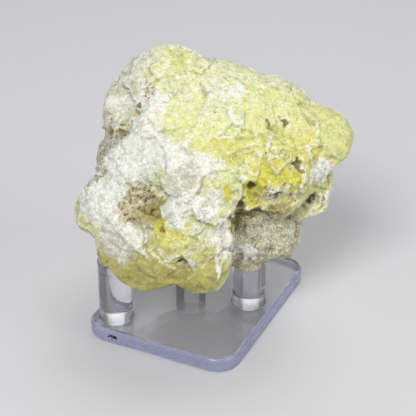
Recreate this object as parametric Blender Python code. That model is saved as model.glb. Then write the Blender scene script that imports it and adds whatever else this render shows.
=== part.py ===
"""Brucite hand specimen resting on a clear acrylic three-post stand.

The stone is one solid, grown as a crust of rounded lobes and sheets on a knobbly piece of host rock.
The stand is a rounded base plate with three plain posts standing on it, one under each low point of the
stone.

Metres, +Z up.  The origin is the middle of the base plate's underside, and the side on show faces -Y.
"""
import math

import bmesh
import bpy
from mathutils import Euler, Matrix, Vector, noise
from mathutils.bvhtree import BVHTree

MM = 0.001

# ---------------------------------------------------------------- driving dimensions
PLATE_WIDE = 46.0 * MM          # short side of the base plate
PLATE_LONG = 58.5 * MM          # long side of the base plate
PLATE_THICK = 4.76 * MM         # 3/16 in sheet
PLATE_CORNER = 6.6 * MM         # corner radius in plan
PLATE_EDGE = 1.1 * MM           # softened rim, top and bottom
PLATE_TURN = math.radians(-25.5)
CORNER_STEPS = 6
SHARP_EDGE = math.radians(60)   # only edges sharper than this are softened

POST_RADIUS = 4.76 * MM         # 3/8 in rod
POST_EDGE = 0.5 * MM            # softened post ends
POST_SIDES = 32
FLAT_END = 0.9                  # a face that points up or down more than this is a post's flat end
GAP = 0.3 * MM                  # clearance between touching pieces
PROBE_RINGS = 5                 # rings of probes that feel for the stone above a post

POST_LEFT = (-23.8 * MM, -13.1 * MM)
POST_RIGHT = (14.4 * MM, -5.8 * MM)
POST_BACK = (-3.0 * MM, 25.0 * MM)

FUSE_STEP = 1.0 * MM            # grid step that fuses the lumps into one solid
VALLEY_FILL = 3.0 * MM          # radius of the crust that fills the valleys between the lumps
CUTTER_STEP = 0.5 * MM          # grid step of the cutters of the hollows
CRUST_STEP = 0.9 * MM           # grid step of the finished crust
LUMP_ROUNDNESS = 4              # subdivisions of the ball that a lump starts from
FLAKE_SIZE = 7.5 * MM           # typical width of one crystal sheet in the crust
FLAKE_RISE = 0.60 * MM          # how far a sheet's edge stands off
SHEET_STEP = 0.25               # step between neighbouring sheets, in parts of that rise
LEAN_SPREAD = 57.0              # gives each sheet a lean of its own
GRAIN_SIZE = 3.2 * MM           # lumps within a sheet
GRAIN_RISE = 0.25 * MM
GRAIN_OCTAVES = 3
RIM_FADE = 3.0                  # how quickly a broken face ends at its reach
STONE_FACES = 8600              # triangle budget of the stone

# ---------------------------------------------------------------- materials
CRUST_COLOUR = (0.80, 0.77, 0.42)
CRUST_ROUGHNESS = 0.55
SHEET_COLOUR = (0.90, 0.91, 0.97)       # clear acrylic with a faint lavender edge
ROD_COLOUR = (0.91, 0.92, 0.98)
ACRYLIC_ROUGHNESS = 0.05
ACRYLIC_CLEARNESS = 0.9
ACRYLIC_IOR = 1.49

# ---------------------------------------------------------------- the stone's lumps
# centre, radii (mm) and tilt (degrees about X, Y, Z) of every lobe, ridge and knob
LOBES = {
    "heart":            ((2, 3, 46), (29, 26, 21), (0, 0, 0)),
    "crown":            ((-7.5, 4, 70), (13, 13, 9.8), (0, 8, 0)),
    "upper_face":       ((9, -5, 59.5), (27, 19, 10), (35, 14, 0)),
    "upper_back":       ((6.8, 7.5, 64.9), (15, 12, 8.5), (0, 12, 0)),
    "upper_right":      ((18, 8, 61.0), (14, 12, 8.5), (0, 16, 0)),
    "shoulder_end":     ((22.8, 6, 61.2), (8, 9, 8), (0, 20, 0)),
    "right_lobe":       ((33.2, -2, 56.2), (9.4, 11, 8.4), (0, 28, 0)),
    "cheek_foot":       ((32.0, -5, 39.3), (4.7, 7, 4.6), (0, 0, 0)),
    "right_cheek":      ((30.5, -2, 45.5), (7.0, 10, 10.5), (0, -4, 0)),
    "knob_top":         ((-15.8, 6, 67.2), (7.3, 8.0, 7.0), (0, 20, 0)),
    "knob_middle":      ((-19.3, 3, 63.4), (6.9, 8.5, 6.8), (0, 0, 0)),
    "knob_low":         ((-20.8, 0, 59.8), (6.0, 8.5, 5.3), (0, 0, 0)),
    "left_flank":       ((-19.6, 5, 47.6), (8.6, 13, 12), (0, 15, 0)),
    "ridge_top":        ((-10, -5, 65.5), (6.5, 8.5, 11), (0, 25, 0)),
    "ridge_upper":      ((-13.5, -8.5, 60), (7, 8.5, 11), (0, 30, 0)),
    "ridge_middle":     ((-18.0, -11.5, 54), (7.2, 8.5, 11), (0, 32, 0)),
    "ridge_lower":      ((-22.1, -12.5, 48), (7.5, 8.5, 10), (0, 36, 0)),
    "ridge_foot":       ((-25, -12, 43), (7, 8, 8), (0, 38, 0)),
    "left_bulge":       ((-29.4, -10, 38), (5, 7, 5), (0, 20, 0)),
    "chest":            ((1, -14, 53), (17, 11, 14), (0, 0, 0)),
    "dome":             ((-3.5, -22.3, 55), (6.5, 5, 5.5), (0, 0, 0)),
    "front_fill":       ((6, -14.5, 56), (14, 10, 10), (0, 10, 0)),
    "white_shelf":      ((0, -24, 47), (9.5, 5.5, 4.2), (0, -6, 0)),
    "lemon_lobe":       ((-3, -23, 37), (9, 8.5, 8.5), (0, 0, 0)),
    "olive_left":       ((-14.5, -21.5, 29.5), (9.5, 9.5, 7.8), (0, 12, 0)),
    "olive_far_left":   ((-21, -17, 31.5), (7.5, 8.5, 7), (0, 20, 0)),
    "olive_right":      ((0.7, -22, 27.8), (8.6, 8.5, 7), (0, -6, 0)),
    "left_front":       ((-21, -17, 38), (8.5, 8, 8.5), (0, 0, 0)),
    "middle_left":      ((-12, -17, 43), (9, 7, 10), (0, 0, 0)),
    "granular_ledge":   ((17, -4, 29), (13, 13, 7.5), (0, -8, 0)),
    "ledge_end":        ((23.0, -4, 27.0), (6.2, 9, 5.9), (0, 0, 0)),
    "ledge_bump":       ((13.5, -10, 23.6), (5, 5, 4.5), (0, 0, 0)),
    "ledge_back":       ((12, 10, 31), (14, 12, 10), (0, 0, 0)),
    "yolk_lobe":        ((18, -12.5, 53.5), (12, 9.5, 10), (0, 0, 0)),
    "yolk_low":         ((20, -12, 45), (9.5, 7, 6), (0, 0, 0)),
    "yellow_corner":    ((7, -19.5, 49.5), (4.5, 4, 5), (0, 0, 0)),
    "back_left":        ((-13, 16, 48), (14, 13, 17), (0, 10, 0)),
    "back_right":       ((16, 16, 47), (16, 13, 15), (0, 0, 0)),
    "back_top":         ((-2, 15, 61), (14, 11, 9), (0, 0, 0)),
    "back_low":         ((-4, 18, 37), (14, 12, 9.5), (0, 0, 0)),
}

# ---------------------------------------------------------------- flat sheets standing out of the crust
# centre, half sizes (mm) and tilt (degrees about X, Y, Z)
SHEETS = {
    "edge_flake":       ((7.4, -23.0, 37), (1.1, 4.5, 8), (0, 6, 12)),
    "right_flake":      ((33.0, -9.5, 50.5), (1.0, 3.5, 4.2), (0, -6, 20)),
    "small_plate":      ((2.6, -24.8, 51), (2.6, 0.8, 3.0), (0, 20, 10)),
    "upper_sheet":      ((19, -5, 64.2), (9.5, 10, 1.3), (33, 14, 8)),
    "left_plate":       ((-16.5, -22.6, 40), (3.8, 0.9, 5.0), (-6, 24, -14)),
    "left_plate_low":   ((-19.5, -21.2, 36), (3.0, 0.9, 4.0), (0, -18, -24)),
    "crown_sheet":      ((0.0, -3.0, 70.6), (7.5, 8.0, 1.1), (30, 12, -6)),
}

# ---------------------------------------------------------------- crevices and pits cut into the stone
# centre, half sizes (mm) and tilt (degrees about X, Y, Z) of each wedge-shaped cutter
HOLLOWS = {
    "knob_crevice":     ((-14.8, -9.0, 69.0), (0.8, 4.0, 5.0), (0, 28, 0)),
    "knob_underside":   ((-21.4, -9.5, 60.8), (5.0, 4.5, 0.9), (0, -45, 0)),
    "dirty_cavity":     ((-13.6, -22.6, 49.2), (4.8, 2.6, 4.4), (0, 30, 0)),
    "cavity_crevice":   ((-10.2, -22.5, 43.2), (1.1, 3.0, 4.8), (0, -24, 0)),
    "lobe_parting":     ((-6.2, -29.5, 29.8), (0.8, 3.6, 6.5), (0, 21, 0)),
    "corner_gap":       ((10.2, -23.0, 45.0), (1.2, 3.0, 4.2), (0, 20, 0)),
    "beside_flake":     ((10.2, -20.0, 39.0), (1.3, 4.0, 4.5), (0, 8, 0)),
    "under_yolk":       ((14.5, -19.0, 42.0), (7.0, 4.0, 1.3), (0, 14, 0)),
    "under_cheek":      ((26.5, -13.5, 37.6), (4.0, 4.0, 1.1), (0, -20, 0)),
    "pit_left":         ((19.0, -11.4, 65.6), (1.7, 1.8, 0.9), (0, 0, 0)),
    "pit_middle":       ((20.8, -12.4, 63.3), (1.3, 1.8, 1.1), (0, 45, 0)),
    "pit_right":        ((23.6, -9.0, 64.4), (1.8, 1.8, 1.0), (0, 20, 0)),
    "pit_wedge":        ((26.2, -18.4, 56.2), (0.9, 2.2, 2.8), (0, -24, 0)),
    "pit_square":       ((31.0, -10.9, 41.8), (2.2, 2.2, 1.8), (0, 10, 0)),
    "pit_dark":         ((13.6, -21.4, 52.0), (1.0, 2.2, 3.0), (0, 8, 0)),
    "back_parting":     ((3.0, 30.0, 50.0), (1.2, 4.0, 17.0), (0, 20, 0)),
    "back_step":        ((12.0, 31.0, 35.0), (12.0, 4.5, 5.5), (0, -12, 0)),
}

# ---------------------------------------------------------------- broken faces
# a point on each (mm), the way it faces, and how far from the point it reaches (mm)
BROKEN_FACES = {
    "back":             ((0, 28.0, 50), (0.06, 1.0, 0.10), 60),
    "back_left":        ((-21.5, 19, 50), (-0.75, 0.62, -0.05), 40),
    "back_right":       ((29, 17, 48), (0.72, 0.66, -0.12), 40),
    "back_slope":       ((2, 22, 70), (0.05, 0.62, 0.78), 30),
    "underside":        ((6, 4, 20.0), (0.08, 0.05, -1.0), 30),
    "ledge_front":      ((19, -15.8, 31), (0.22, -0.95, -0.12), 15),
    "ledge_side":       ((28.8, -4, 27), (0.95, -0.25, -0.05), 12),
    "left_flank":       ((-27.9, 0, 50), (-0.88, -0.25, 0.30), 14),
    "upper_slope":      ((5, -9.5, 68.6), (0.10, -0.48, 0.87), 19),
    "yellow_slope":     ((18, -20.3, 55.5), (0.30, -0.86, 0.42), 14),
    "dome_face":        ((-4, -25.8, 56), (-0.10, -0.88, 0.46), 9),
    "ridge_slope":      ((-19, -17.0, 57), (-0.50, -0.74, 0.45), 14),
    "left_front":       ((-22, -23.5, 39), (-0.48, -0.87, 0.05), 12),
    "olive_front":      ((-14, -29.3, 31), (-0.20, -0.93, -0.30), 10),
    "lemon_front":      ((-3, -30.3, 38), (0.12, -0.98, 0.12), 9),
    "lobe_top":         ((30, -7, 63.5), (0.45, -0.35, 0.82), 12),
    "lobe_end":         ((40.8, -6, 58), (0.93, -0.30, 0.10), 9),
    "lobe_underside":   ((38, -8, 52.5), (0.62, -0.40, -0.68), 9),
}


def clear_scene():
    for ob in list(bpy.data.objects):
        bpy.data.objects.remove(ob, do_unlink=True)


def in_metres(numbers):
    return Vector([n * MM for n in numbers])


def placed(centre, half, tilt):
    """Matrix that turns a unit shape into one with this centre, these half sizes and this tilt."""
    turn = Euler([math.radians(a) for a in tilt]).to_matrix().to_4x4()
    return Matrix.Translation(in_metres(centre)) @ turn @ Matrix.Diagonal((*in_metres(half), 1.0))


def new_object(name, bm):
    mesh = bpy.data.meshes.new(name)
    bm.to_mesh(mesh)
    bm.free()
    ob = bpy.data.objects.new(name, mesh)
    bpy.context.scene.collection.objects.link(ob)
    return ob


def new_material(name, colour, roughness):
    mat = bpy.data.materials.new(name)
    mat.use_nodes = True
    bsdf = mat.node_tree.nodes["Principled BSDF"]
    bsdf.inputs["Base Color"].default_value = (*colour, 1.0)
    bsdf.inputs["Roughness"].default_value = roughness
    return mat


def new_acrylic(name, colour):
    mat = new_material(name, colour, ACRYLIC_ROUGHNESS)
    bsdf = mat.node_tree.nodes["Principled BSDF"]
    bsdf.inputs["Transmission Weight"].default_value = ACRYLIC_CLEARNESS
    bsdf.inputs["IOR"].default_value = ACRYLIC_IOR
    return mat


def settle(ob):
    """Turn the modifiers into plain mesh."""
    graph = bpy.context.evaluated_depsgraph_get()
    mesh = bpy.data.meshes.new_from_object(ob.evaluated_get(graph))
    ob.modifiers.clear()
    ob.data = mesh


def fuse(ob, step):
    remesh = ob.modifiers.new("fuse", 'REMESH')
    remesh.mode = 'VOXEL'
    remesh.voxel_size = step
    remesh.adaptivity = 0.0
    settle(ob)


def fill_valleys(ob):
    """Swell the stone, fuse it again and shrink it back, which leaves crust in its narrow valleys."""
    for distance in (VALLEY_FILL, -VALLEY_FILL):
        swell = ob.modifiers.new("swell", 'DISPLACE')
        swell.mid_level = 0.0
        swell.strength = distance
        settle(ob)
        fuse(ob, FUSE_STEP)


def add_boxes(bm, boxes):
    for centre, half, tilt in boxes.values():
        bmesh.ops.create_cube(bm, size=2.0, matrix=placed(centre, half, tilt))


def keep_largest_piece(ob):
    """Drop any crumb that the cuts left loose."""
    bm = bmesh.new()
    bm.from_mesh(ob.data)
    waiting = set(bm.verts)
    pieces = []
    while waiting:
        piece, edge_of_piece = set(), [waiting.pop()]
        while edge_of_piece:
            vert = edge_of_piece.pop()
            piece.add(vert)
            for edge in vert.link_edges:
                other = edge.other_vert(vert)
                if other in waiting:
                    waiting.discard(other)
                    edge_of_piece.append(other)
        pieces.append(piece)
    pieces.sort(key=len)
    for piece in pieces[:-1]:
        bmesh.ops.delete(bm, geom=list(piece), context='VERTS')
    bm.to_mesh(ob.data)
    bm.free()


def press_flat(ob):
    """Break the stone off along each of its flat faces."""
    for vert in ob.data.vertices:
        for point, facing, reach in BROKEN_FACES.values():
            away = vert.co - in_metres(point)
            direction = Vector(facing).normalized()
            beyond = away.dot(direction)
            fade = min(1.0, max(0.0, RIM_FADE * (1.0 - away.length / (reach * MM))))
            if beyond > 0.0:
                vert.co -= direction * beyond * fade


def sheet_height(place):
    """Height of the tilted crystal sheet that covers this place, in parts of its rise."""
    centre = noise.voronoi(place / FLAKE_SIZE)[1][0]
    lean = noise.cell_vector(centre * LEAN_SPREAD)
    return (place / FLAKE_SIZE - centre).dot(lean) + SHEET_STEP * lean.x


def roughen(ob):
    """Raise the crust's overlapping sheets and its finer grain along the surface normals."""
    normals = [v.normal.copy() for v in ob.data.vertices]
    for vert, normal in zip(ob.data.vertices, normals):
        sheets = sheet_height(vert.co) * FLAKE_RISE
        grain = noise.fractal(vert.co / GRAIN_SIZE, 1.0, 2.0, GRAIN_OCTAVES) * GRAIN_RISE
        vert.co += normal * (sheets + grain)


def make_stone():
    bm = bmesh.new()
    for centre, radii, tilt in LOBES.values():
        bmesh.ops.create_icosphere(bm, subdivisions=LUMP_ROUNDNESS, radius=1.0,
                                   matrix=placed(centre, radii, tilt))
    stone = new_object("brucite", bm)
    fuse(stone, FUSE_STEP)
    fill_valleys(stone)
    press_flat(stone)

    bm = bmesh.new()
    bm.from_mesh(stone.data)
    add_boxes(bm, SHEETS)
    bm.to_mesh(stone.data)
    bm.free()
    fuse(stone, FUSE_STEP)

    bm = bmesh.new()
    add_boxes(bm, HOLLOWS)
    cutters = new_object("hollows", bm)
    fuse(cutters, CUTTER_STEP)
    cutters.hide_render = True
    cutters.display_type = 'WIRE'
    cut = stone.modifiers.new("hollows", 'BOOLEAN')
    cut.operation = 'DIFFERENCE'
    cut.solver = 'EXACT'
    cut.object = cutters
    settle(stone)
    bpy.data.objects.remove(cutters, do_unlink=True)
    fuse(stone, CRUST_STEP)
    keep_largest_piece(stone)
    roughen(stone)

    thin = stone.modifiers.new("thin", 'DECIMATE')
    thin.ratio = min(1.0, STONE_FACES / sum(len(p.vertices) - 2 for p in stone.data.polygons))
    settle(stone)
    stone.data.materials.clear()
    stone.data.materials.append(new_material("brucite_crust", CRUST_COLOUR, CRUST_ROUGHNESS))
    return stone


def make_plate():
    bm = bmesh.new()
    rim = []
    for quarter, (sx, sy) in enumerate(((1, 1), (-1, 1), (-1, -1), (1, -1))):
        cx = sx * (PLATE_WIDE / 2 - PLATE_CORNER)
        cy = sy * (PLATE_LONG / 2 - PLATE_CORNER)
        for i in range(CORNER_STEPS + 1):
            angle = math.radians(90.0 * (quarter + i / CORNER_STEPS))
            place = (cx + PLATE_CORNER * math.cos(angle), cy + PLATE_CORNER * math.sin(angle), 0.0)
            rim.append(bm.verts.new(place))
    floor = bm.faces.new(rim)
    lifted = bmesh.ops.extrude_face_region(bm, geom=[floor])
    for item in lifted["geom"]:
        if isinstance(item, bmesh.types.BMVert):
            item.co.z = PLATE_THICK
    bmesh.ops.recalc_face_normals(bm, faces=bm.faces)
    bmesh.ops.rotate(bm, verts=bm.verts, matrix=Matrix.Rotation(PLATE_TURN, 3, 'Z'))
    plate = new_object("stand_base", bm)
    soften = plate.modifiers.new("soften", 'BEVEL')
    soften.width = PLATE_EDGE
    soften.segments = 2
    soften.limit_method = 'ANGLE'
    soften.angle_limit = SHARP_EDGE
    settle(plate)
    plate.data.materials.append(new_acrylic("acrylic_sheet", SHEET_COLOUR))
    return plate


def lowest_above(stone, spot):
    """Height of the stone's lowest place above a post standing at this spot."""
    bm = bmesh.new()
    bm.from_mesh(stone.data)
    tree = BVHTree.FromBMesh(bm)
    bm.free()
    heights = []
    for ring in range(PROBE_RINGS + 1):
        radius = POST_RADIUS * ring / PROBE_RINGS
        for step in range(POST_SIDES):
            angle = math.tau * step / POST_SIDES
            x, y = spot[0] + radius * math.cos(angle), spot[1] + radius * math.sin(angle)
            hit = tree.ray_cast(Vector((x, y, PLATE_THICK)), Vector((0, 0, 1)))[0]
            if hit is not None:
                heights.append(hit.z)
    return min(heights)


def make_post(name, spot, stone):
    bottom = PLATE_THICK + GAP
    top = lowest_above(stone, spot) - GAP
    bm = bmesh.new()
    middle = Matrix.Translation((*spot, (bottom + top) / 2))
    bmesh.ops.create_cone(bm, cap_ends=True, segments=POST_SIDES, radius1=POST_RADIUS, radius2=POST_RADIUS,
                          depth=top - bottom, matrix=middle)
    post = new_object(name, bm)
    soften = post.modifiers.new("soften", 'BEVEL')
    soften.width = POST_EDGE
    soften.segments = 1
    soften.limit_method = 'ANGLE'
    soften.angle_limit = SHARP_EDGE
    settle(post)
    for face in post.data.polygons:
        face.use_smooth = abs(face.normal.z) < FLAT_END
    post.data.materials.append(new_acrylic(name + "_acrylic", ROD_COLOUR))
    return post


clear_scene()
brucite = make_stone()
make_plate()
make_post("post_left", POST_LEFT, brucite)
make_post("post_right", POST_RIGHT, brucite)
make_post("post_back", POST_BACK, brucite)
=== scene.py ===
"""A brucite hand specimen on its clear acrylic stand: base plate, three posts, stone, and the studio."""
import math

import bmesh
import bpy
import numpy as np
from mathutils import Matrix, Vector, noise
from mathutils.bvhtree import BVHTree


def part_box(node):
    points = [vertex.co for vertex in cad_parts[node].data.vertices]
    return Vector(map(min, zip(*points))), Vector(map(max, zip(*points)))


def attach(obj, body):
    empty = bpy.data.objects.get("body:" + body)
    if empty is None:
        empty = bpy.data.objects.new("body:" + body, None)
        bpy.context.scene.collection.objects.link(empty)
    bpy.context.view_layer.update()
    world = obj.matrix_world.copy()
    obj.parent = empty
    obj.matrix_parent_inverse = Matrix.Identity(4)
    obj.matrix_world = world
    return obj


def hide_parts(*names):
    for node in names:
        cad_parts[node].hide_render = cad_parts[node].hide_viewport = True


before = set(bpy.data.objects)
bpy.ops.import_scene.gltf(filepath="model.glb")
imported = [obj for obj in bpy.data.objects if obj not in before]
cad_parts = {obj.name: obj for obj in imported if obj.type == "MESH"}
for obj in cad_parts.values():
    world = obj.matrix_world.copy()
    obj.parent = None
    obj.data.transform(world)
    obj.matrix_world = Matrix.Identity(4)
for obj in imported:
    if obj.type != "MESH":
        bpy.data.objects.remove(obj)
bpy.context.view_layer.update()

# ------------------------------------------------------------------ base plate
# A rounded rectangle cut from clear cast acrylic sheet.  Its rims are sanded round and left hazy; their
# lavender is partly the sheet's own tint and partly painted glow; the top has fine scratches and dust, and
# the front rim one small chip.
MM = 0.001
PLATE_WIDE = 46.0 * MM
PLATE_LONG = 58.5 * MM
PLATE_TOP = 4.76 * MM
PLATE_FOOT = 0.06 * MM
PLATE_CORNER = 6.6 * MM
PLATE_RIM = 1.25 * MM
PLATE_TURN = math.radians(-25.5)
CORNER_STEPS = 18
RIM_STEPS = 7
NEARLY_LEVEL = 0.9
CHIP_SPOT = Vector((-24.7 * MM, -20.8 * MM, 2.5 * MM))
CHIP_SIZE = (1.7, 1.3, 0.85)
CHIP_REACH = 1.9 * MM
ACRYLIC_IOR = 1.49
CLEAR_TINT = (0.98, 0.98, 1.0)
DUST_TINT = (0.62, 0.62, 0.62)
# The rim's lavender: the sheet's own faint tint seen edge-on, and painted glow for the light the sheet
# carries to its edge.
RIM_TINT_AND_GLOW = (0.66, 0.67, 0.98, 1.0)
RIM_CLEARNESS = 0.60
SHEET_SCRATCHES = 0.25


def new_piece(name, bm):
    mesh = bpy.data.meshes.new(name)
    bm.to_mesh(mesh)
    bm.free()
    piece = bpy.data.objects.new(name, mesh)
    bpy.context.scene.collection.objects.link(piece)
    return piece


def settle(piece):
    """Turn the piece's modifiers into plain mesh."""
    graph = bpy.context.evaluated_depsgraph_get()
    mesh = bpy.data.meshes.new_from_object(piece.evaluated_get(graph))
    piece.modifiers.clear()
    piece.data = mesh


def even_normals(piece):
    """Shade the flat faces flat and let the small round ones between them blend."""
    even = piece.modifiers.new("even_normals", 'WEIGHTED_NORMAL')
    even.weight = 100
    settle(piece)


def stack_of_rings(rings):
    """A closed, smooth mesh: each ring of points is joined to the next one up, and both ends are capped."""
    bm = bmesh.new()
    loops = [[bm.verts.new(point) for point in ring] for ring in rings]
    for low, high in zip(loops, loops[1:]):
        for i in range(len(low)):
            j = (i + 1) % len(low)
            bm.faces.new((low[i], low[j], high[j], high[i]))
    bm.faces.new(list(reversed(loops[0])))
    bm.faces.new(loops[-1])
    for face in bm.faces:
        face.smooth = True
    return bm


def plate_outline(inset):
    """The plate's outline in plan, drawn in by inset."""
    radius = PLATE_CORNER - inset
    outline = []
    for quarter, (sx, sy) in enumerate(((1, 1), (-1, 1), (-1, -1), (1, -1))):
        cx = sx * (PLATE_WIDE / 2 - PLATE_CORNER)
        cy = sy * (PLATE_LONG / 2 - PLATE_CORNER)
        for step in range(CORNER_STEPS + 1):
            angle = math.radians(90 * (quarter + step / CORNER_STEPS))
            outline.append((cx + radius * math.cos(angle), cy + radius * math.sin(angle)))
    return outline


def plate_mesh():
    rim = []
    for step in range(RIM_STEPS + 1):
        lean = math.radians(90 * step / RIM_STEPS)
        rim.append((PLATE_RIM * (1 - math.sin(lean)), PLATE_RIM * (1 - math.cos(lean))))
    levels = [(inset, PLATE_FOOT + rise) for inset, rise in rim]
    levels += [(inset, PLATE_TOP - rise) for inset, rise in reversed(rim)]
    bm = stack_of_rings([[(x, y, height) for x, y in plate_outline(inset)] for inset, height in levels])
    bmesh.ops.rotate(bm, verts=bm.verts, matrix=Matrix.Rotation(PLATE_TURN, 3, 'Z'))
    return bm


def chip_rim(plate):
    """Break one small shell-shaped chip out of the front rim."""
    bm = bmesh.new()
    turn = Matrix.Rotation(PLATE_TURN, 4, 'Z')
    place = Matrix.Translation(CHIP_SPOT) @ turn @ Matrix.Diagonal((*CHIP_SIZE, 1.0))
    bmesh.ops.create_icosphere(bm, subdivisions=3, radius=MM, matrix=place)
    cutter = new_piece("chip_cutter", bm)
    cut = plate.modifiers.new("chip", 'BOOLEAN')
    cut.operation = 'DIFFERENCE'
    cut.solver = 'EXACT'
    cut.object = cutter
    settle(plate)
    bpy.data.objects.remove(cutter, do_unlink=True)


def new_material(name, finish):
    """A material whose shader holds these fixed values, given by the names of its inputs."""
    mat = bpy.data.materials.new(name)
    mat.use_nodes = True
    for slot, value in finish.items():
        mat.node_tree.nodes["Principled BSDF"].inputs[slot].default_value = value
    return mat


def feed(tree, slot, value):
    """Set a node's input to a value, or join it to another node's output."""
    if isinstance(value, bpy.types.NodeSocket):
        tree.links.new(value, slot)
    else:
        slot.default_value = value


def node(tree, kind, **values):
    """A shader node with its inputs fed and its settings made."""
    made = tree.nodes.new(kind)
    for key, value in values.items():
        if key in made.inputs:
            feed(tree, made.inputs[key], value)
        else:
            setattr(made, key, value)
    return made


def combine(tree, operation, *entries):
    """The result of one operation on numbers or on other nodes' outputs."""
    made = node(tree, 'ShaderNodeMath', operation=operation)
    for slot, entry in zip(made.inputs, entries):
        feed(tree, slot, entry)
    return made.outputs[0]


def band(tree, value, low, high, bottom=0.0, top=1.0):
    """The value from low to high, turned smoothly into bottom to top."""
    made = node(tree, 'ShaderNodeMapRange', interpolation_type='SMOOTHSTEP')
    for slot, entry in zip(made.inputs, (value, low, high, bottom, top)):
        feed(tree, slot, entry)
    return made.outputs[0]


def blend(tree, factor, first, second):
    """The first colour, turned into the second one by factor."""
    made = node(tree, 'ShaderNodeMix', data_type='RGBA')
    feed(tree, made.inputs[0], factor)
    for slot, colour in ((made.inputs[6], first), (made.inputs[7], second)):
        feed(tree, slot, colour if isinstance(colour, bpy.types.NodeSocket) else (*colour, 1.0))
    return made.outputs[2]


def grain(tree, where, scale, detail=3.0):
    """A cloudy value from 0 to 1, with about scale grains to the metre."""
    return node(tree, 'ShaderNodeTexNoise', Vector=where, Scale=scale, Detail=detail).outputs["Fac"]


def stretched(tree, where, scale, turn=(0, 0, 0)):
    """The place on the piece, turned and scaled so that the grain read there runs one way."""
    return node(tree, 'ShaderNodeMapping', Vector=where, Rotation=turn, Scale=scale).outputs[0]


def dots(tree, where, scale):
    """Distance from the nearest of many points, strewn about scale to the metre."""
    return node(tree, 'ShaderNodeTexVoronoi', Vector=where, Scale=scale).outputs["Distance"]


def clear_acrylic(name, scratches):
    """Clear, polished acrylic with dust, fine scratches all one way, and a faint smear from wiping."""
    mat = new_material(name, {"IOR": ACRYLIC_IOR, "Transmission Weight": 1.0})
    tree = mat.node_tree
    bsdf = tree.nodes["Principled BSDF"]
    where = node(tree, 'ShaderNodeTexCoord').outputs["Object"]
    streak = grain(tree, stretched(tree, where, (900, 38, 300), turn=(0, 0, 0.5)), 1.0, 2.0)
    dusty = band(tree, dots(tree, where, 330.0), 0.10, 0.06)
    marked = combine(tree, 'MAXIMUM', dusty, band(tree, streak, 0.72, 0.76, 0.0, 0.5))
    tree.links.new(blend(tree, marked, CLEAR_TINT, DUST_TINT), bsdf.inputs["Base Color"])
    smear = band(tree, grain(tree, where, 70.0, 4.0), 0.45, 0.75, 0.0, 0.03)
    rough = combine(tree, 'MULTIPLY_ADD', band(tree, streak, 0.70, 0.74), scratches, smear)
    tree.links.new(rough, bsdf.inputs["Roughness"])
    return mat


def hazy_glowing_rim():
    """The plate's sanded edge: it scatters some light instead of passing it on, in a lavender that is
    partly the sheet's own tint and partly painted glow.
    """
    mat = new_material("hazy_glowing_rim", {
        "Base Color": RIM_TINT_AND_GLOW, "IOR": ACRYLIC_IOR, "Transmission Weight": RIM_CLEARNESS})
    tree = mat.node_tree
    bsdf = tree.nodes["Principled BSDF"]
    where = node(tree, 'ShaderNodeTexCoord').outputs["Object"]
    sanded = grain(tree, stretched(tree, where, (140, 140, 1900)), 1.0)
    tree.links.new(band(tree, sanded, 0.35, 0.65, 0.10, 0.34), bsdf.inputs["Roughness"])
    bump = node(tree, 'ShaderNodeBump', Strength=0.40, Distance=0.1 * MM, Height=sanded)
    tree.links.new(bump.outputs[0], bsdf.inputs["Normal"])
    return mat


def is_sanded(plate, face):
    """Whether a face of the plate is on its rim, and not inside the chip."""
    corners = [plate.data.vertices[i].co for i in face.vertices]
    chipped = all((corner - CHIP_SPOT).length < CHIP_REACH for corner in corners)
    return abs(face.normal.z) < NEARLY_LEVEL and not chipped


plate = new_piece("stand_plate", plate_mesh())
chip_rim(plate)
even_normals(plate)
plate.data.materials.append(clear_acrylic("clear_sheet", SHEET_SCRATCHES))
plate.data.materials.append(hazy_glowing_rim())
for face in plate.data.polygons:
    face.material_index = int(is_sanded(plate, face))
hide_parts("stand_base")
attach(plate, "root")

# ------------------------------------------------------------------ posts
# Three lengths of clear acrylic rod, sawn square, polished and cemented upright on the plate.
# The cement has crept out into a small ring round each foot, and the top ends have a fine chamfer.
POST_RADIUS = 4.76 * MM
POST_CHAMFER = 0.35 * MM
POST_STEPS = 72
CHAMFER_STEPS = 3
FOOT_SPREAD = 0.36 * MM
FOOT_HEIGHT = 2.8 * MM
FOOT_CLEAR = 0.04 * MM
FOOT_LIP = 0.12 * MM
FOOT_CURVE = 1.6
FOOT_STEPS = 8
BARE_ROD_FROM = 1.6 * FOOT_HEIGHT
ROD_TINT = (0.84, 0.84, 1.0, 1.0)
ROD_DENSITY = 20.0
ROD_SCRATCHES = 0.12
CEMENT_HAZE = 0.30


def post_profile(top):
    """Radius and height up the post's side: the ring of cement, the straight rod, and the chamfer."""
    foot = PLATE_TOP + FOOT_CLEAR
    lip = foot + FOOT_LIP
    points = [(POST_RADIUS + 0.75 * FOOT_SPREAD, foot), (POST_RADIUS + FOOT_SPREAD, lip)]
    for step in range(1, FOOT_STEPS + 1):
        t = step / FOOT_STEPS
        points.append((POST_RADIUS + FOOT_SPREAD * (1 - t) ** FOOT_CURVE, lip + FOOT_HEIGHT * t))
    points += [(POST_RADIUS, foot + BARE_ROD_FROM), (POST_RADIUS, top - 2 * POST_CHAMFER)]
    for step in range(CHAMFER_STEPS + 1):
        lean = math.radians(90 * step / CHAMFER_STEPS)
        inset = POST_CHAMFER * (1 - math.cos(lean))
        drop = POST_CHAMFER * (1 - math.sin(lean))
        points.append((POST_RADIUS - inset, top - drop))
    return points


def post_mesh(centre, top):
    turns = [math.tau * i / POST_STEPS for i in range(POST_STEPS)]
    rings = []
    for radius, height in post_profile(top):
        rings.append([(centre.x + radius * math.cos(turn), centre.y + radius * math.sin(turn), height)
                      for turn in turns])
    return stack_of_rings(rings)


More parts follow.
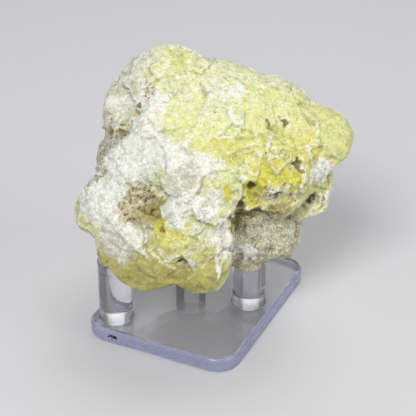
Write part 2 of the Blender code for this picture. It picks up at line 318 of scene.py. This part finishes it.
def cemented_rod():
    """Clear rod with a faint blue body, hazy at its foot where the cement has crept up."""
    mat = clear_acrylic("clear_rod", ROD_SCRATCHES)
    tree = mat.node_tree
    roughness = tree.nodes["Principled BSDF"].inputs["Roughness"]
    polished = roughness.links[0].from_socket
    where = node(tree, 'ShaderNodeTexCoord').outputs["Object"]
    height = node(tree, 'ShaderNodeSeparateXYZ', Vector=where).outputs["Z"]
    cement = band(tree, height, PLATE_TOP + FOOT_HEIGHT, PLATE_TOP, 0.0, CEMENT_HAZE)
    tree.links.new(combine(tree, 'ADD', polished, cement), roughness)
    body = node(tree, 'ShaderNodeVolumeAbsorption', Color=ROD_TINT, Density=ROD_DENSITY)
    tree.links.new(body.outputs[0], tree.nodes["Material Output"].inputs["Volume"])
    return mat


rod = cemented_rod()
for side in ("left", "right", "back"):
    low, high = (Vector(corner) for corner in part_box("post_" + side))
    post = new_piece("stand_post_" + side, post_mesh((low + high) / 2, high.z))
    even_normals(post)
    post.data.materials.append(rod)
    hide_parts("post_" + side)
    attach(post, "root")

# ------------------------------------------------------------------ stone
# Brucite, a soft waxy mineral: translucent lemon lobes and thin sheets under a frosty white crust, grown
# on a knobbly grey host rock.  It grew as one piece; brown clay still sits in its crevices and pits.
CRUST_STEP = 0.455 * MM
SETTLE_STEPS = 7
CLEFT_STEPS = 60
HOLLOW_STEPS = 12
SHEET_SIDES = 16
DRIFT_SEED = 8
BRUCITE_IOR = 1.57
GLOW = 0.35
GLOW_DEPTH = 1.1 * MM
GLOW_SPREAD = (1.0, 0.9, 0.4)

# The finest layers' colours, as display values.
ROCK_DARK = (144, 137, 100)
ROCK_PALE = (224, 219, 192)
CLAY_BROWN = (96, 68, 40)
# Painted shade: the brownish yellow laid into the hollows of the relief.
HOLLOW_SHADE = (168, 152, 88)
HAZE_WHITE = (238, 239, 222)
LACE_WHITE = (244, 245, 236)
FLECK_WHITE = (242, 243, 234)
GRIT_GREY = (172, 164, 124)
SPECK_BROWN = (104, 90, 62)

# Each kind of surface: where it lies, as middles and reaches in mm.  Lemon is the ground of them all, and
# each other kind lies over those above it in the list.
KINDS = {
    "lemon": (((4, -6, 72), 22), ((16, -5, 68), 18), ((-3, -16, 66), 13)),
    "canary": (((17, -8, 68), 11), ((24, -6, 66), 10), ((29, -7, 63), 9), ((11, -16, 64), 7),
               ((18, -14, 63), 8), ((-2, -15, 66.5), 7), ((4, -17, 65), 8)),
    "lime": (((36, -8, 60), 11), ((33, -3, 64), 8), ((33.5, -12, 48), 7), ((-5, 2, 79), 5)),
    "olive": (((-13, -29, 30), 12), ((0, -30, 30), 10), ((-22, -24, 31), 9), ((-5, -29, 33), 5)),
    "amber": (((-3, -30, 39), 9), ((-9, -29, 39), 6), ((2, -30, 37), 6)),
    "yellow": (((12, -19, 60), 6), ((17, -19, 58), 8), ((27, -14, 59), 8), ((30, -15, 52), 8),
               ((-8, -28, 42), 6), ((21, -13, 62.5), 4), ((6, -20.5, 62.5), 4.5), ((25, -17, 48), 5)),
    "yolk": (((17, -21, 54), 6), ((21, -20, 55), 5.2), ((16, -21, 49), 4.5), ((6, -25, 52), 4),
             ((-10, -26, 43.5), 3.5), ((25, -19, 53), 3)),
    "knob": (((-20, 0, 71), 9), ((-21, -3, 66), 8), ((-17, 2, 77), 8), ((-24, 2, 62), 8)),
    "rock": (((17, -15, 31), 13), ((24, -12, 30), 9), ((13, -14, 25), 8), ((-6, 28, 47), 26),
             ((22, 22, 45), 22), ((0, 4, 22), 16), ((-27, 12, 48), 18), ((5, 20, 68), 8)),
    "chalk": (((-13, -9, 70.5), 4.5), ((-15, -14, 65), 6), ((-19, -17, 59), 7), ((-13, -19, 61.5), 7),
              ((-5, -22, 61), 4.5), ((-5, -27, 50), 6), ((2, -28, 49.5), 4.5), ((2, -23, 60), 4),
              ((33, -12.5, 52), 4.5), ((6.5, -25, 39), 4), ((10, -4, 71), 3), ((8, -24, 34), 3),
              # The last chalk spot, low on the host rock under the overhang, is partly white crust and
              # partly painted light that lifts the shade there.
              ((-21, -3, 67), 3.2), ((13, -16.5, 28.5), 3.2)),
    "cool": (((-22, -18, 53), 6.5), ((-27, -19, 47), 8), ((-22, -23, 44), 6), ((-16, -20, 56), 5),
             ((-21, -20, 49), 4)),
    "flank": (((-27, -3, 53), 7), ((-26.5, -14.5, 52.5), 3.2), ((-28.5, -14, 49), 3.2),
              ((-22, -10, 59.5), 3), ((-24, -6, 57), 4)),
    "pale": (((-18, -24, 40), 6), ((-24, -24, 36), 6), ((-20, -25, 35), 5), ((-4, -28, 56), 6),
             ((-1, -26, 59), 4), ((4, -26, 52), 3)),
    "moss": (((10, -26, 42), 3.5), ((14, -18, 42), 5), ((20, -18, 42), 5.5), ((28, -12, 40), 4),
             ((-12, -21.5, 45), 5), ((-17, -23, 44), 3)),
    "rust": (((0, -28, 48.6), 2.6), ((2.5, -27, 49.5), 2.0), ((-17, -21, 48.5), 3.0)),
    "earth": (((-15, -19.8, 49.3), 6), ((-18, -22, 45.5), 4.5), ((-13, -7, 72), 2.4), ((-16, -8, 67), 2.6),
              ((20, -20, 48), 4.5), ((11, -21, 47), 4), ((26, -17, 47), 3.5), ((26, -17.5, 55), 2.6),
              ((-20.5, -9, 61.8), 3.8), ((-24, -6, 60), 4), ((-26, -1, 57), 3), ((-18, -12.5, 64), 2.2)),
    "pit": (((-24, -6, 59.5), 1.8), ((-26, -1, 57), 2.4), ((-21, -8.8, 61.5), 1.7), ((-19, -11, 62.4), 1.3),
            ((-15.5, -8, 68), 1.2), ((-12, -7, 74), 0.8), ((-12, -21, 43), 1.1), ((-9, -26, 42), 1.2),
            ((-4, -29.5, 34), 1.5), ((14, -20, 51), 1.0), ((21, -20, 48), 1.5), ((19, -11, 65), 1.1),
            ((20.5, -12.5, 63.5), 0.9), ((23, -8, 64), 1.3), ((26, -17, 56), 1.3), ((27, -18, 54.5), 1.1),
            ((30, -9, 40.5), 1.4), ((11, -21, 46), 2.0), ((9, -25.5, 44.5), 1.6), ((14, -18, 41), 2.2)),
}

# How noise breaks up a kind's edge: its share of the slow drift and of the fine crumbs, how far inside its
# reach the kind starts, and how far inside it is full.
PLAIN_EDGE = (1.0, 0.0, -0.10, 0.45)
EDGES = {
    "earth": (1.0, 1.6, 0.0, 0.8),
    "rust": (1.0, 2.2, 0.1, 0.8),
    "pit": (0.4, 1.3, 0.0, 0.3),
    "flank": (0.5, 1.0, -0.05, 0.3),
}
# Rust only stains the crust that it lies on.
RUST_SHARE = 0.7

# What each kind looks like: its colour as display values, how frosty it is, and how smooth its crust is.
LOOKS = {
    "lemon": ((228, 230, 168), 0.19, 0.55),
    "canary": ((227, 229, 154), 0.11, 0.72),
    "lime": ((219, 221, 146), 0.06, 0.80),
    "olive": ((184, 178, 98), 0.00, 0.82),
    "amber": ((207, 204, 126), 0.18, 0.60),
    "yellow": ((225, 222, 122), 0.09, 0.40),
    "yolk": ((220, 214, 82), 0.00, 0.45),
    "knob": ((221, 221, 197), 0.22, 0.50),
    "rock": ((216, 216, 198), 0.00, 0.20),
    "chalk": ((228, 228, 212), 0.70, 0.60),
    "cool": ((233, 235, 236), 0.74, 0.60),
    "flank": ((178, 187, 183), 0.10, 0.10),
    "pale": ((208, 206, 188), 0.18, 0.75),
    "moss": ((182, 172, 100), 0.05, 0.20),
    "rust": ((210, 158, 108), 0.00, 0.40),
    "earth": ((228, 217, 186), 0.05, 0.30),
    "pit": ((132, 112, 62), 0.00, 0.50),
}

# Places where clay and crust have half filled a cleft: middle and reach in mm.
EASED = (((-7, -3, 75), 7), ((-12, -5, 74), 4), ((14, -20, 51), 4))

# Single sheets that lie on the crust: middle and reach in mm along x, y and z, rise in mm, the raised side,
# and how much whiter the sheet is than the crust round it.
FLAKES = {
    "top_sheet": ((2.5, -9, 69), (10.5, 12, 9), 0.6, (1, -0.2, 0), 0.14),
    "upright_flake": ((6.5, -26, 39), (2.6, 4, 7.2), 1.0, (0.3, -1, 0), 0.55),
    "cheek_flake": ((33, -12, 51), (2.2, 4, 4.2), 0.8, (-1, -0.3, 0), 0.40),
    "round_plate": ((-17, -25, 38.5), (3.8, 4, 3.8), 1.2, (0.5, 0, -1), 0.05),
    "pale_plate": ((-20.5, -24, 42.5), (2.6, 4, 3.6), 1.0, (-0.6, 0, -1), 0.35),
    "spotted_plate": ((2.5, -26, 52), (2.6, 4, 2.8), 0.7, (1, 0, -0.4), 0.0),
    "yellow_flake_low": ((24, -20, 52.5), (5.4, 5, 4.8), 1.0, (-0.4, 0, -1), 0.12),
    "yellow_flake_mid": ((22, -17, 61), (4.6, 5, 4.4), 0.8, (-0.8, 0, -1), 0.10),
    "yellow_flake_left": ((12.5, -21, 58.5), (4.4, 5, 4.0), 0.8, (0.7, 0, -1), 0.15),
    "yellow_flake_top": ((15.5, -15, 63.5), (4.8, 5, 4.0), 0.7, (0.8, 0, -0.8), 0.0),
    "right_flake": ((29, -16, 52.5), (2.8, 5, 5.8), 0.9, (-1, 0, -0.3), 0.20),
    "dome_edge": ((-4, -27, 55.5), (5.2, 5, 4.8), 0.6, (0.9, 0, -0.5), 0.0),
    "left_shelf": ((-26, -19.5, 46), (5.4, 7, 5.4), 0.6, (-0.7, 0, -1), 0.0),
    "olive_skin": ((-15, -29, 31), (8, 8, 5.4), 0.6, (0.2, -0.4, 1), 0.0),
    "lobe_seam": ((25.5, -8, 61.5), (7.5, 8, 8.5), 0.55, (1, 0, -0.1), 0.06),
}


def stone_mesh():
    """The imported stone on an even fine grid, with its facets smoothed away."""
    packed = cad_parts["brucite"]
    stone = bpy.data.objects.new("brucite_stone", packed.data.copy())
    bpy.context.scene.collection.objects.link(stone)
    stone.data.transform(packed.matrix_world)
    remesh = stone.modifiers.new("even_grid", 'REMESH')
    remesh.mode = 'VOXEL'
    remesh.voxel_size = CRUST_STEP
    relax = stone.modifiers.new("relax", 'SMOOTH')
    relax.factor = 0.5
    relax.iterations = SETTLE_STEPS
    settle(stone)
    return stone


def shift_of(seed):
    """Each layer of noise is read from its own part of space."""
    return Vector((seed, 2 * seed, 3 * seed))


def noise_of(places, size, octaves, seed):
    """Smooth noise of this size in mm, about -1 to 1, at each place."""
    shift = shift_of(seed)
    if octaves == 1:
        return np.array([noise.noise(Vector(place) / size + shift) for place in places])
    return np.array([noise.fractal(Vector(place) / size + shift, 0.8, 2.0, octaves) for place in places])


def drift_of(places, size):
    """A smooth wandering of this size in mm, as a vector at each place."""
    return np.array([noise.noise_vector(Vector(place) / size)[:] for place in places])


def soft_step(values, low, high):
    t = np.clip((values - low) / (high - low), 0.0, 1.0)
    return t * t * (3 - 2 * t)


def reach_of(places, spots):
    """How far inside the nearest spot each place lies: 1 at its middle, 0 at its edge, negative outside."""
    inside = [1.0 - np.linalg.norm(places - np.array(middle), axis=1) / reach for middle, reach in spots]
    return np.max(inside, axis=0)


def measured(mesh):
    """The places in mm, the directions outward, the edges, and how many edges meet at each place."""
    count = len(mesh.vertices)
    places, normals = np.zeros(count * 3), np.zeros(count * 3)
    mesh.vertices.foreach_get("co", places)
    mesh.vertex_normals.foreach_get("vector", normals)
    edges = np.zeros(len(mesh.edges) * 2, dtype=int)
    mesh.edges.foreach_get("vertices", edges)
    meetings = np.bincount(edges, minlength=count)
    return places.reshape(-1, 3) / MM, normals.reshape(-1, 3), edges.reshape(-1, 2), meetings


def evened(values, edges, meetings, steps):
    """Each value averaged with its neighbours along the mesh, this many times over."""
    for _ in range(steps):
        total = np.bincount(edges[:, 0], values[edges[:, 1]], len(values))
        total += np.bincount(edges[:, 1], values[edges[:, 0]], len(values))
        values = 0.5 * values + 0.5 * total / meetings
    return values


def ease_clefts(places, edges, meetings):
    """Half fill the clefts that clay and crust have grown into."""
    eased = np.column_stack([evened(places[:, axis], edges, meetings, CLEFT_STEPS) for axis in range(3)])
    places += soft_step(reach_of(places, EASED), 0.0, 0.6)[:, None] * 0.5 * (eased - places)


def shares_of(places, drift, crumbs):
    """How much of each kind of surface there is at each place."""
    shares = {}
    for name, spots in KINDS.items():
        drifted, crumbled, start, full = EDGES.get(name, PLAIN_EDGE)
        moved = places + drifted * drift + crumbled * crumbs
        shares[name] = soft_step(reach_of(moved, spots), start, full)
    shares["rust"] *= RUST_SHARE
    return shares


def tone(red, green, blue):
    """A colour given as display values from 0 to 255, as the linear values a material takes."""
    parts = [value / 255 for value in (red, green, blue)]
    return tuple(part / 12.92 if part <= 0.04045 else ((part + 0.055) / 1.055) ** 2.4 for part in parts)


def looks_of(shares):
    """Colour, frost and smoothness at each place, each kind laid over the ones above it in KINDS."""
    layers = {name: np.array((*tone(*tint), frost, smooth))[:, None]
              for name, (tint, frost, smooth) in LOOKS.items()}
    looks = np.tile(layers["lemon"], (1, len(shares["lemon"])))
    for name in list(KINDS)[1:]:
        looks += shares[name] * (layers[name] - looks)
    return looks[:3].T, looks[3], looks[4]


def flat_faces(places, normals, skin, size, lean, limit, seed):
    """How far each place moves, in mm, to lie on the flat crystal face of its cell."""
    shift = shift_of(seed)
    faces = {}
    moves = np.zeros(len(places))
    for i, (place, normal) in enumerate(zip(places, normals)):
        middle = noise.voronoi(Vector(place) / size + shift)[1][0]
        key = tuple(round(c, 3) for c in middle)
        if key not in faces:
            spot, facing, _, _ = skin.find_nearest((middle - shift) * size)
            faces[key] = spot, (facing + lean * noise.cell_vector(middle * 31.0)).normalized()
        spot, facing = faces[key]
        slant = facing.dot(Vector(normal))
        if slant > 0.45:
            moves[i] = (spot - Vector(place)).dot(facing) / slant
    return np.where(moves > 0, 0.6, 1.0) * limit * np.tanh(moves / limit)


def thin_sheets(places, size, seed):
    """Height of the tilted sheet that covers each place, about -0.5 to 0.5."""
    shift = shift_of(seed)
    heights = np.zeros(len(places))
    for i, place in enumerate(places):
        spot = Vector(place) / size + shift
        middle = noise.voronoi(spot)[1][0]
        lean = noise.cell_vector(middle * 57.0)
        heights[i] = 0.6 * (spot - middle).dot(lean) + 0.35 * lean.x
    return heights


def flake_relief(places):
    """How far each place stands out on the single sheets, and how much frost they add.

    A sheet is a polygon with a side facing each of SHEET_SIDES directions, and it rises to one crisp edge.
    """
    relief, frost = np.zeros(len(places)), np.zeros(len(places))
    for number, (middle, reach, rise, side, white) in enumerate(FLAKES.values()):
        away = (places - np.array(middle)) / np.array(reach)
        cells = [Vector((number + 0.5, turn + 0.5, 0.5)) for turn in range(SHEET_SIDES)]
        facings = [Vector(noise.cell_vector(cell)) * 2 - Vector((1, 1, 1)) for cell in cells]
        outside = np.max([away @ np.array(facing.normalized()) for facing in facings], axis=0)
        inside = (0.9 - outside) * min(reach)
        lean = np.clip(0.45 + 0.55 * away @ np.array(Vector(side).normalized()), 0, 1)
        sheet = soft_step(inside, 0.0, 0.45)
        crisp_edge = 0.25 * sheet * soft_step(-inside, -0.9, -0.4) * soft_step(lean, 0.4, 0.7)
        relief += rise * sheet * lean
        frost += white * sheet * lean + crisp_edge
    return relief, frost


def crust_relief(places, normals, skin, shares, smooth, raised):
    """How far the crust stands out of the smooth stone at each place, in mm."""
    # Large and small crystal faces, clearest where the crust is rough.
    large = flat_faces(places, normals, skin, size=7.5, lean=0.12, limit=1.1, seed=2.0)
    small = flat_faces(places, normals, skin, size=3.0, lean=0.20, limit=0.45, seed=5.0)
    relief = (1 - 0.3 * smooth) * large
    relief += (1 - 0.7 * smooth) * small
    # Thin sheets, mostly in the yellow parts, and the single large ones.
    sheeted = 0.05 + 0.22 * np.maximum(shares["yellow"], 0.4 * shares["lemon"])
    relief += sheeted * thin_sheets(places, size=1.7, seed=9.0)
    relief += raised
    # Lumps, and sharp little ridges.
    bumps = noise_of(places, 1.3, octaves=4, seed=4.0)
    swells = noise_of(places, 3.4, octaves=3, seed=8.0)
    relief += (0.13 - 0.11 * smooth) * bumps + 0.16 * swells
    ridges = 0.2 - np.abs(noise_of(places, 2.3, octaves=1, seed=14.0))
    ridges = ridges + 0.5 * (0.2 - np.abs(noise_of(places, 1.15, octaves=1, seed=15.0)))
    relief += (0.50 - 0.46 * smooth) * ridges
    # The grain of rock and clay, the chalky crust's thickness, and the pits.
    grainy = shares["rock"] + shares["flank"] + 0.8 * shares["earth"]
    relief += grainy * 0.34 * noise_of(places, 1.4, octaves=4, seed=6.0)
    relief += shares["rock"] * 0.9 * noise_of(places, 5.0, octaves=2, seed=21.0)
    relief += shares["chalk"] * (0.12 + 0.06 * noise_of(places, 0.9, octaves=2, seed=7.0))
    relief -= shares["pit"] * 0.8 + 0.35 * shares["earth"]
    return relief


def crust_frost(places, frost, hollow, whitened):
    """Frost, in patches and on the single sheets; it is thinned in the hollows as painted shade and
    thickened on what stands out as painted light.
    """
    frosty = soft_step(frost, 0.0, 0.2)
    patches = frosty * 0.22 * noise_of(places, 3.4, octaves=4, seed=12.0)
    # Painted shade and light: less frost in the hollows, more on what stands out.
    hollow_shade_ridge_light = (0.3 + 0.7 * frosty) * 1.2 * np.clip(hollow, -0.2, 0.2)
    return np.clip(frost + patches - hollow_shade_ridge_light + whitened, 0, 1)


def grow_crust(stone):
    """Push the crust's relief out of the smooth stone and write down what each place is made of."""
    mesh = stone.data
    places, normals, edges, meetings = measured(mesh)
    ease_clefts(places, edges, meetings)
    faces = [face.vertices[:] for face in mesh.polygons]
    skin = BVHTree.FromPolygons([Vector(place) for place in places], faces)
    drift = 2.6 * drift_of(places, 7.0) + 1.2 * drift_of(places, 2.2)
    crumbs = 1.1 * drift_of(places, 1.1)
    shares = shares_of(places, drift, crumbs)
    colour, frost, smooth = looks_of(shares)
    raised, whitened = flake_relief(places + 0.08 * drift + 0.15 * crumbs)
    relief = crust_relief(places, normals, skin, shares, smooth, raised)
    hollow = evened(relief, edges, meetings, HOLLOW_STEPS) - relief
    marks = {
        "frost": crust_frost(places, frost, hollow, whitened),
        # How far each place is sunk in the relief; the material paints shade there.
        "hollow": np.clip(hollow, 0, 1),
        "rock": np.clip(shares["rock"] * (1 - shares["chalk"]) + 0.6 * shares["flank"], 0, 1),
        "earth": shares["earth"],
        "wax": smooth,
    }
    places += relief[:, None] * normals
    mesh.vertices.foreach_set("co", (places * MM).ravel())
    tint = np.column_stack([np.clip(colour, 0, 1), np.ones(len(places))])
    mesh.attributes.new("tint", 'FLOAT_COLOR', 'POINT').data.foreach_set("color", tint.ravel())
    for name, values in marks.items():
        mesh.attributes.new(name, 'FLOAT', 'POINT').data.foreach_set("value", values)


def mark(tree, name, output="Fac"):
    """What grow_crust wrote down under this name."""
    return node(tree, 'ShaderNodeAttribute', attribute_name=name).outputs[output]


def product(tree, first, second):
    return combine(tree, 'MULTIPLY', first, second)


def added(tree, first, second, weight):
    """First plus weight times second."""
    return combine(tree, 'MULTIPLY_ADD', second, weight, first)


def combine_vectors(tree, operation, first, second, output="Vector"):
    made = node(tree, 'ShaderNodeVectorMath', operation=operation)
    feed(tree, made.inputs[0], first)
    feed(tree, made.inputs[1], second)
    return made.outputs[output]


def facets(tree, where, scale):
    """Height of tiny crystal faces, about scale to the metre, each tilted its own way."""
    cell = node(tree, 'ShaderNodeTexVoronoi', Vector=where, Scale=scale)
    away = combine_vectors(tree, 'SUBTRACT', where, cell.outputs["Position"])
    lean = combine_vectors(tree, 'SUBTRACT', cell.outputs["Color"], (0.5, 0.5, 0.5))
    return combine_vectors(tree, 'DOT_PRODUCT', away, lean, output="Value")


def mineral_colour(tree, where, coarse):
    """The written colours, more vivid in patches, with the host rock's dark and light grains."""
    tint = mark(tree, "tint", "Color")
    vivid = node(tree, 'ShaderNodeHueSaturation', Saturation=1.06, Value=0.95, Color=tint).outputs[0]
    colour = blend(tree, band(tree, coarse, 0.40, 0.62), tint, vivid)
    speckle = band(tree, grain(tree, where, 2200.0, 2.0), 0.40, 0.62)
    rocky = blend(tree, speckle, tone(*ROCK_DARK), tone(*ROCK_PALE))
    bare = product(tree, mark(tree, "rock"), band(tree, coarse, 0.35, 0.6, 0.45, 0.9))
    return blend(tree, bare, colour, rocky)


def with_clay_and_hollow_shade(tree, where, coarse, colour):
    """Brown crumbs where there is clay, and painted shade, a brownish yellow, in the hollows."""
    crumbs = band(tree, dots(tree, where, 1100.0), 0.46, 0.30, 0.04, 1.0)
    soiled = product(tree, mark(tree, "earth"), crumbs)
    colour = blend(tree, product(tree, soiled, band(tree, coarse, 0.32, 0.50)), colour, tone(*CLAY_BROWN))
    # Painted shade: the hollows of the relief are darkened towards a brownish yellow.
    hollow_shade_share = band(tree, mark(tree, "hollow"), 0.08, 0.40, 0.0, 0.45)
    return blend(tree, hollow_shade_share, colour, tone(*HOLLOW_SHADE))


def with_frost(tree, where, coarse, colour):
    """The white crust: combed wisps of haze, a fine lace on it, and single bright grains."""
    frost = mark(tree, "frost")
    wisps = grain(tree, stretched(tree, where, (340, 600, 1300), turn=(0, 0.9, 0)), 1.0, 4.0)
    haze = band(tree, added(tree, added(tree, frost, coarse, 0.5), wisps, 0.6), 0.65, 1.40, 0.0, 0.85)
    colour = blend(tree, haze, colour, tone(*HAZE_WHITE))
    ridge = combine(tree, 'ABSOLUTE', combine(tree, 'ADD', grain(tree, where, 1000.0), -0.5))
    lace = band(tree, ridge, 0.035, 0.005)
    frosty = band(tree, frost, 0.02, 0.22, 0.12, 1.0)
    patch = product(tree, band(tree, added(tree, frost, coarse, 0.9), 0.50, 0.95, 0.10, 0.75), frosty)
    colour = blend(tree, product(tree, lace, patch), colour, tone(*LACE_WHITE))
    grains = node(tree, 'ShaderNodeTexVoronoi', Vector=where, Scale=2600.0).outputs["Color"]
    pick = node(tree, 'ShaderNodeSeparateColor', Color=grains).outputs[0]
    flecks = band(tree, added(tree, added(tree, pick, frost, 0.8), coarse, 1.2), 1.42, 1.60, 0.0, 0.85)
    return blend(tree, product(tree, flecks, frosty), colour, tone(*FLECK_WHITE))


def with_specks(tree, where, colour):
    """Fine grey grit all over, and a few dark dots in loose groups."""
    grit = band(tree, grain(tree, where, 2400.0, 2.0), 0.44, 0.68, 0.0, 0.32)
    colour = blend(tree, grit, colour, tone(*GRIT_GREY))
    groups = band(tree, grain(tree, where, 110.0, 2.0), 0.50, 0.58, 0.0, 0.75)
    dotted = product(tree, band(tree, dots(tree, where, 300.0), 0.11, 0.06), groups)
    return blend(tree, dotted, colour, tone(*SPECK_BROWN))


def sugary_bump(tree, where, fine, coarse):
    """Tiny crystal faces, fainter where the mineral is waxy, under a fine crumb."""
    crisp = band(tree, mark(tree, "wax"), 0.4, 0.95, 1.0, 0.6)
    faces = added(tree, facets(tree, where, 620.0), facets(tree, where, 1500.0), 1.0)
    sugar = node(tree, 'ShaderNodeBump', Strength=0.9, Distance=1.0, Height=product(tree, faces, crisp))
    crumb = added(tree, fine, coarse, 0.8)
    return node(tree, 'ShaderNodeBump', Strength=0.80, Distance=0.3 * MM, Height=crumb,
                Normal=sugar.outputs[0]).outputs[0]


def brucite_material():
    mat = new_material("brucite_crust", {
        "IOR": BRUCITE_IOR, "Subsurface Weight": GLOW,
        "Subsurface Radius": GLOW_SPREAD, "Subsurface Scale": GLOW_DEPTH})
    tree = mat.node_tree
    bsdf = tree.nodes["Principled BSDF"]
    where = node(tree, 'ShaderNodeTexCoord').outputs["Object"]
    fine = grain(tree, where, 1500.0, 4.0)
    coarse = grain(tree, where, 420.0, 5.0)
    colour = mineral_colour(tree, where, coarse)
    colour = with_clay_and_hollow_shade(tree, where, coarse, colour)
    colour = with_frost(tree, where, coarse, colour)
    colour = with_specks(tree, where, colour)
    tree.links.new(colour, bsdf.inputs["Base Color"])
    shine = band(tree, fine, 0.35, 0.65, 0.30, 0.58)
    tree.links.new(added(tree, shine, mark(tree, "rock"), 0.25), bsdf.inputs["Roughness"])
    tree.links.new(sugary_bump(tree, where, fine, coarse), bsdf.inputs["Normal"])
    return mat


noise.seed_set(DRIFT_SEED)
stone = stone_mesh()
grow_crust(stone)
for face in stone.data.polygons:
    face.use_smooth = True
stone.data.materials.clear()
stone.data.materials.append(brucite_material())
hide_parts("brucite")
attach(stone, "root")

# ------------------------------------------------------------------ studio
# A pale matt table top, four soft boxes and the room's own light.
# The camera stands a forearm's length away and looks down a third of a right angle.
TABLE_SIZE = 4.0
TABLE_TINT = (0.60, 0.60, 0.61, 1.0)
ROOM_TINT = (0.90, 0.92, 0.96, 1.0)
ROOM_STRENGTH = 0.24
LIT_SPOT = Vector((0, 0, 0.045))
CAMERA_PLACE = (0.00255, -0.29937, 0.2058)
CAMERA_PITCH = math.radians(60)
LENS = 104.67
FILM_WIDTH = 36.0

# Each soft box: its place, its side in metres and its power in watts.
SOFT_BOXES = {
    "soft_box_key": ((-0.25, -0.68, 0.74), 0.36, 7.7),
    "soft_box_fill": ((0.85, -0.45, 0.40), 0.60, 3.6),
    "soft_box_top": ((0.25, 0.35, 0.95), 0.50, 2.8),
    "soft_box_back": ((-0.10, 1.20, 0.60), 1.00, 3.0),
}


def add_soft_box(name, place, size, power):
    lamp = bpy.data.lights.new(name, 'AREA')
    lamp.shape = 'SQUARE'
    lamp.size = size
    lamp.energy = power
    box = bpy.data.objects.new(name, lamp)
    box.location = place
    box.rotation_euler = (LIT_SPOT - Vector(place)).to_track_quat('-Z', 'Y').to_euler()
    bpy.context.scene.collection.objects.link(box)


bm = bmesh.new()
bmesh.ops.create_grid(bm, x_segments=1, y_segments=1, size=TABLE_SIZE / 2)
table = new_piece("table_top", bm)
table.data.materials.append(new_material("pale_table", {"Base Color": TABLE_TINT, "Roughness": 0.6}))
for name, (place, size, power) in SOFT_BOXES.items():
    add_soft_box(name, place, size, power)

room = bpy.data.worlds.new("room_light")
room.use_nodes = True
room.node_tree.nodes["Background"].inputs["Color"].default_value = ROOM_TINT
room.node_tree.nodes["Background"].inputs["Strength"].default_value = ROOM_STRENGTH
bpy.context.scene.world = room

eye = bpy.data.cameras.new("camera")
eye.lens = LENS
eye.sensor_width = FILM_WIDTH
eye.clip_start = 0.01
camera = bpy.data.objects.new("camera", eye)
camera.location = CAMERA_PLACE
camera.rotation_euler = (CAMERA_PITCH, 0.0, 0.0)
bpy.context.scene.collection.objects.link(camera)
bpy.context.scene.camera = camera
bpy.context.scene.view_settings.view_transform = 'Standard'
